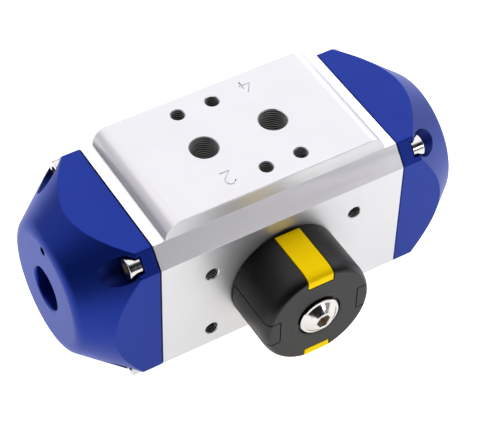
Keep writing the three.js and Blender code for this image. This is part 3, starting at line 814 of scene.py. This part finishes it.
def marker_side_view(quarter):
    """The outline of a marker seen along X: a flat outer face and an edge rounded like the knob's."""
    outer = MARKER_SPAN[1]
    outline = [(0, KNOB_FRONT), *knob_edge(outer), (outer, 0), (0, 0)]
    half_width = 10
    piece = prism("side_view", "x", [(y, AXIS_Z + z) for z, y in outline], -half_width, half_width)
    if quarter == 2:
        upside_down = Matrix.Scale(-1, 4, (0, 0, 1))
        piece.data.transform(Matrix.Translation((0, 0, 2 * AXIS_Z * MM)) @ upside_down)
        piece.data.flip_normals()
    return piece


def insert_pocket(quarter, span):
    open_span = (span[0] - SEAM, KNOB_R + 3)
    piece = edge_bar(quarter, open_span, INSERT_HALF + SEAM, INSERT_BACK + SEAM)
    core_r, core_y = INSERT_CORE_R - SEAM, INSERT_CORE_Y + SEAM
    return boolean(piece, [turned("core", "y", AXIS, [(core_r, core_y), (core_r, 0)], 160)])


def knob():
    knob_body = knob_envelope("knob", KNOB_BACK)
    wall, hub, plate = KNOB_WALL_R, KNOB_HUB_R, KNOB_PLATE
    hub_back = KNOB_FRONT + 15.15
    ahead = KNOB_FRONT - 2
    recess_floor = KNOB_FRONT + 0.9
    neck_r = 6.8
    screw_r = 3.2
    boolean(knob_body, [
        turned("hollow", "y", AXIS, [(hub, plate), (wall, plate), (wall, 0), (hub, 0)], 96, closed=True),
        turned("behind", "y", AXIS, [(hub + 1, hub_back), (hub + 1, 0)], 64),
        turned("recess", "y", AXIS, [(SCREW_RECESS_R, ahead), (SCREW_RECESS_R, recess_floor)], 96),
        turned("hole", "y", AXIS, [(neck_r, plate), (neck_r, 0)], 64),
        turned("screw_hole", "y", AXIS, [(screw_r, ahead), (screw_r, plate + 1)], 48),
    ])
    spans = (MARKER_SPAN, FILLER_SPAN, MARKER_SPAN, FILLER_SPAN)
    boolean(knob_body, [insert_pocket(quarter, span) for quarter, span in enumerate(spans)])
    soften(knob_body, MOULDED_EDGE, angle=35)
    finish_piece(knob_body, "pinion", "black_plastic", "indicator_knob")
    for quarter, name, span, slot in (
            (0, "marker_top", MARKER_SPAN, "yellow_plastic"),
            (2, "marker_bottom", MARKER_SPAN, "yellow_plastic"),
            (1, "filler_left", FILLER_SPAN, "black_plastic"),
            (3, "filler_right", FILLER_SPAN, "black_plastic")):
        insert(name, quarter, span, slot, f"indicator_{name}")


def button_screw(count=96):
    """The flanged screw in the knob's front, with a domed cone for a head."""
    seat, top = BUTTON_SEAT, BUTTON_TOP
    flange = BUTTON_FLANGE_R
    shank_r, shank_end = 2.8, seat + 12
    profile = [(TINY_R, shank_end), (shank_r - 0.5, shank_end), (shank_r, shank_end - 0.5), (shank_r, seat)]
    profile += [(flange - 0.15, seat), (flange, seat - 0.15), (flange, seat - 0.4)]
    profile += [(flange - 0.2, seat - 0.62), (5.95, seat - 0.72)]
    base_r, base = 5.75, seat - 0.75
    shoulder_r, rise = 3.2, base - top
    for k in range(9):
        t = k / 8
        bulge = 0.08 * math.sin(math.pi * t)
        profile.append((base_r + (shoulder_r - base_r) * t + bulge, base - rise * t - bulge * 0.3))
    rings = [circle(AXIS, r, y, count) for r, y in profile]
    rings.append(circle(AXIS, 2.75, top, count))
    for across_flats, below in ((4.35, 0.03), (4.0, 0.3), (4.0, 2.0)):
        rings.append(hexagon_ring(AXIS, across_flats, top + below, count))
    rings.append(circle(AXIS, TINY_R, top + 2.7, count))
    screw = loft("button_screw", "y", rings)
    soften(screw, 0)
    finish_piece(screw, "pinion", "polished_steel", "indicator_screw")
    shade_faces(screw, "socket_shade", in_button_socket)


def in_button_socket(point, _normal):
    off_axis = math.hypot(point.x, point.z - AXIS_Z)
    return off_axis < 2.4 and BUTTON_TOP + 0.3 < point.y < BUTTON_TOP + 3


# ---- Scene ----------------------------------------------------------------------------
def glow(tree, way, direction, inner, outer, color):
    """A soft-edged bright patch of the surroundings, full within inner degrees of a direction."""
    across = tree.nodes.new("ShaderNodeVectorMath")
    across.operation = "DOT_PRODUCT"
    across.inputs[1].default_value = Vector(direction).normalized()
    tree.links.new(way, across.inputs[0])
    fall = tree.nodes.new("ShaderNodeMapRange")
    fall.interpolation_type = "SMOOTHSTEP"
    fall.inputs["From Min"].default_value = math.cos(math.radians(outer))
    fall.inputs["From Max"].default_value = math.cos(math.radians(inner))
    tree.links.new(across.outputs["Value"], fall.inputs["Value"])
    patch = tree.nodes.new("ShaderNodeVectorMath")
    patch.operation = "SCALE"
    patch.inputs[0].default_value = color
    tree.links.new(fall.outputs["Result"], patch.inputs["Scale"])
    return patch.outputs["Vector"]


def studio():
    """A dim room lit by the soft patches of WORLD_LIGHTS, over glowing white paper."""
    world = bpy.data.worlds.new("studio")
    world.use_nodes = True
    tree = world.node_tree
    way = tree.nodes.new("ShaderNodeTexCoord").outputs["Generated"]
    total = None
    for light in WORLD_LIGHTS:
        patch = glow(tree, way, *light)
        if total is None:
            total = patch
            continue
        add = tree.nodes.new("ShaderNodeVectorMath")
        tree.links.new(total, add.inputs[0])
        tree.links.new(patch, add.inputs[1])
        total = add.outputs["Vector"]
    tree.links.new(total, tree.nodes["Background"].inputs["Color"])
    bpy.context.scene.world = world
    bpy.context.scene.view_settings.view_transform = "Standard"
    bpy.context.scene.view_settings.look = "Medium High Contrast"

    floor_mesh = bpy.data.meshes.new("floor")
    half = 4
    corners = [(-half, -half, 0), (half, -half, 0), (half, half, 0), (-half, half, 0)]
    floor_mesh.from_pydata(corners, [], [(0, 1, 2, 3)])
    floor = bpy.data.objects.new("floor", floor_mesh)
    bpy.context.scene.collection.objects.link(floor)
    floor.location.z = -0.0002
    paper, _, shader = principled("paper", (0.6, 0.6, 0.6), 0.9, 0, Specular_IOR_Level=0)
    shader.inputs["Emission Color"].default_value = (1, 0.995, 0.985, 1)
    shader.inputs["Emission Strength"].default_value = FLOOR_GLOW
    floor_mesh.materials.append(paper)
    backdrop()


def backdrop():
    """Plain white paper all round, seen at the horizon but neither lighting nor reflected."""
    radius, height, count = 3.8, 3, 64
    points = circle((0, 0), radius, -0.01, count) + circle((0, 0), radius, height, count)
    faces = [(k, (k + 1) % count, count + (k + 1) % count, count + k) for k in range(count)]
    mesh = bpy.data.meshes.new("backdrop")
    mesh.from_pydata(points, [], faces)
    wall = bpy.data.objects.new("backdrop", mesh)
    bpy.context.scene.collection.objects.link(wall)
    sheet, _, shader = principled("backdrop", (0, 0, 0), 1, 0, Specular_IOR_Level=0)
    shader.inputs["Emission Color"].default_value = (1, 1, 1, 1)
    shader.inputs["Emission Strength"].default_value = 1
    mesh.materials.append(sheet)
    wall.visible_diffuse = False
    wall.visible_glossy = False
    wall.visible_shadow = False


def camera():
    """A long lens, looking down at the indicator side from the left."""
    azimuth, elevation, roll = (math.radians(v) for v in (-31.84, 47.40, 1.50))
    distance, lens, sensor = 0.59858, 142.76, 36
    offset_right, offset_up = 0.00129, -0.00172
    level = Vector((math.sin(azimuth), -math.cos(azimuth), 0))
    back = level * math.cos(elevation) + Vector((0, 0, math.sin(elevation)))
    right = Vector((0, 0, 1)).cross(back).normalized()
    up = back.cross(right)
    rolled_right = right * math.cos(roll) + up * math.sin(roll)
    rolled_up = up * math.cos(roll) - right * math.sin(roll)
    target = Vector((0, 0, AXIS_Z * MM)) + rolled_right * offset_right + rolled_up * offset_up
    place = target + back * distance
    data = bpy.data.cameras.new("camera")
    data.lens = lens
    data.sensor_width = sensor
    data.clip_start = 0.01
    data.clip_end = 50
    cam = bpy.data.objects.new("camera", data)
    turn = Matrix((rolled_right, rolled_up, back)).transposed().to_4x4()
    cam.matrix_world = Matrix.Translation(place) @ turn
    bpy.context.scene.collection.objects.link(cam)
    bpy.context.scene.camera = cam


# Each patch of light: its direction, the angles in degrees to where it is full and where it has
# faded out, and its colour.
WORLD_LIGHTS = (
    ((0, 0, 1), 179, 180, (0.03, 0.03, 0.031)),
    ((0.35, 0.50, 0.79), 36, 56, (1.27, 1.26, 1.30)),
    ((0.49, -0.794, 0.357), 4, 8, (6.2, 6.1, 6.5)),
    ((0.80, -0.58, 0.12), 14, 26, (0.36, 0.35, 0.37)),
    ((0.80, 0.58, 0.15), 12, 28, (0.75, 0.75, 0.78)),
    ((-0.65, 0.57, 0.50), 12, 38, (0.82, 0.81, 0.84)),
)
FLOOR_GLOW = 0.9
HOLES = tapped_holes()

camera()
studio()
housing()
end_caps()
cap_screws()
knob()
button_screw()

for row in frame["record"]["subparts"]:
    node = frame["nodes"][row["node"]]
    node.data.materials.clear()
    node.data.materials.append(MATERIALS[row["material_slot"]])
